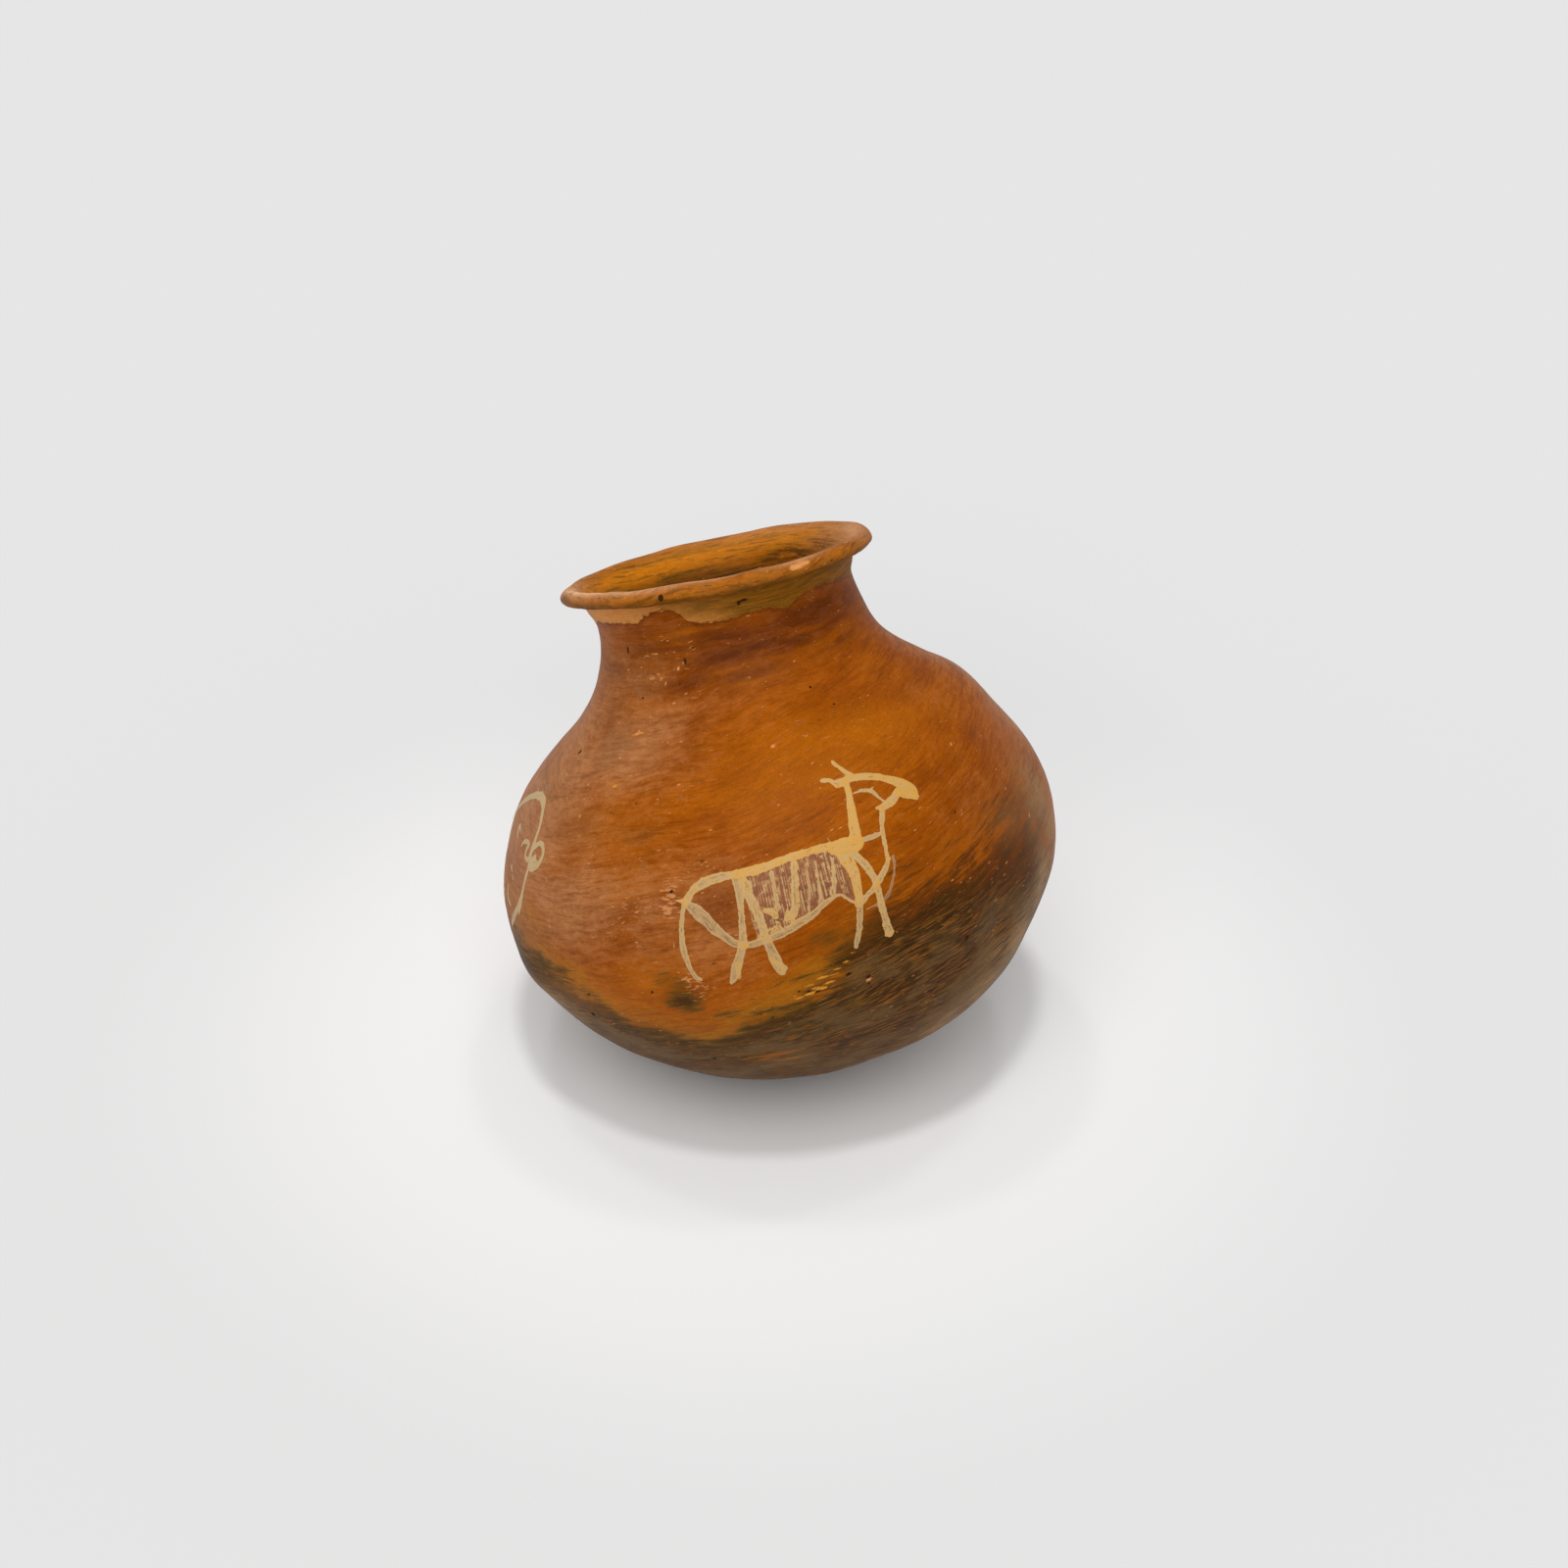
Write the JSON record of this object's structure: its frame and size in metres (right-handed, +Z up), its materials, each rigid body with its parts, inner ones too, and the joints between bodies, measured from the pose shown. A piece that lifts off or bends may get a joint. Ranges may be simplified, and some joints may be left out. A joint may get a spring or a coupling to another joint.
{
  "type": "terracotta water jug",
  "caption": "Round-bottomed hand-built terracotta water jug with a short neck, a flared rolled lip and animals painted in cream slip, leaning at rest on a worn flat",
  "frame": {"origin": "middle of the worn flat that the jug rests on", "axes": "+Z up, -Y towards the viewer of the picture, +X to the viewer's right; the jug's own axis leans 23.7 degrees from +Z towards -X and +Y, as it rests in the picture"},
  "size_m": [0.228, 0.2243, 0.2316],
  "materials": {
    "burnished_red_clay": "satin",
    "lip_clay": "matte",
    "cream_slip_paint": "matte"
  },
  "bodies": {
    "root": {"base_bowl": "burnished_red_clay", "wall_coil_1": "burnished_red_clay", "wall_coil_2": "burnished_red_clay", "wall_coil_3": "burnished_red_clay", "wall_coil_4": "burnished_red_clay", "wall_coil_5": "burnished_red_clay", "neck_coil_1": "burnished_red_clay", "neck_coil_2": "burnished_red_clay", "rolled_lip": "lip_clay", "painted_animal_front": "cream_slip_paint", "painted_animal_left": "cream_slip_paint"}
  },
  "joints": []
}
